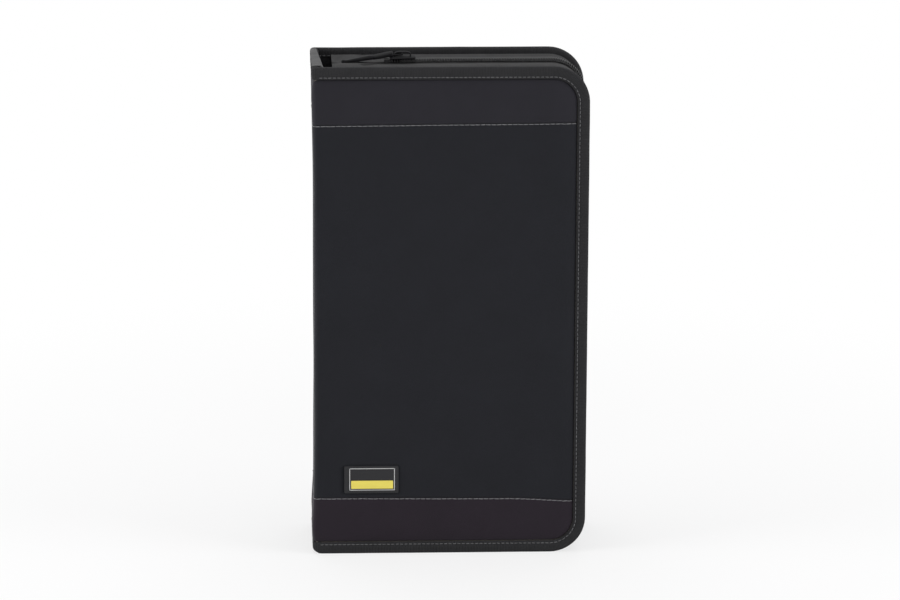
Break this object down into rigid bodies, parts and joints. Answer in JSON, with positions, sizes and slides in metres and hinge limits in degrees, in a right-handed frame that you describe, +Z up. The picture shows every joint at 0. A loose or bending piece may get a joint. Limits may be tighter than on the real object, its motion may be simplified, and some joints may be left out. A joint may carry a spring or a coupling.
{
  "type": "cd storage case",
  "caption": "Tall zipped disc wallet: two padded fabric covers with bound edges on a flat spine, a wide zip round three sides and a stack of sleeves inside.",
  "frame": {"origin": "middle of the case's footprint, at the level of its bottom edges", "axes": "+Z up the case's height, +X from the spine to the zipped side, -Y out of the front cover"},
  "size_m": [0.16, 0.06, 0.2961],
  "materials": {
    "cover_fabric": "near-black woven nylon over thin foam",
    "binding": "black ribbed binding tape with grey stitching",
    "zip_tape": "charcoal woven zip tape",
    "coil": "dark grey nylon coil",
    "board": "stiffener board, hidden",
    "lining": "black plain lining",
    "sleeve": "soft plastic sleeves on black fleece",
    "slider_metal": "black painted zip slider",
    "strap": "black woven pull strap",
    "patch": "black moulded patch, plain"
  },
  "bodies": {
    "spine": {"spine_centre_panel": "cover_fabric", "spine_top_band": "cover_fabric", "spine_bottom_band": "cover_fabric", "spine_board": "board", "spine_lining": "lining", "spine_top_binding": "binding", "spine_bottom_binding": "binding", "page_binder": "lining", "sleeve_pages": "sleeve"},
    "front_cover": {"front_centre_panel": "cover_fabric", "front_top_band": "cover_fabric", "front_bottom_band": "cover_fabric", "front_board": "board", "front_lining": "lining", "front_binding": "binding", "front_zip_tape": "zip_tape", "front_zip_coil": "coil", "front_top_stop": "coil", "front_bottom_stop": "coil", "label_patch": "patch"},
    "back_cover": {"back_centre_panel": "cover_fabric", "back_top_band": "cover_fabric", "back_bottom_band": "cover_fabric", "back_board": "board", "back_lining": "lining", "back_binding": "binding", "back_zip_tape": "zip_tape", "back_zip_coil": "coil", "back_top_stop": "coil", "back_bottom_stop": "coil"},
    "zip_slider": {"slider_body": "slider_metal"},
    "zip_pull": {"pull_tab": "slider_metal", "pull_strap": "strap"}
  },
  "joints": [
    {"name": "front_cover_hinge", "type": "hinge", "parent": "spine", "child": "front_cover", "pos_m": [-0.079, -0.029, 0.146], "axis": [0, 0, -1], "range_deg": [0, 90]},
    {"name": "back_cover_hinge", "type": "hinge", "parent": "spine", "child": "back_cover", "pos_m": [-0.079, 0.029, 0.146], "axis": [0, 0, 1], "range_deg": [0, 90]},
    {"name": "slider_run", "type": "slide", "parent": "back_cover", "child": "zip_slider", "axis": [1, 0, 0], "range_m": [0, 0.078]},
    {"name": "pull_swing", "type": "hinge", "parent": "zip_slider", "child": "zip_pull", "pos_m": [-0.027, 0, 0.2939], "axis": [0, 1, 0], "range_deg": [0, 170]}
  ]
}
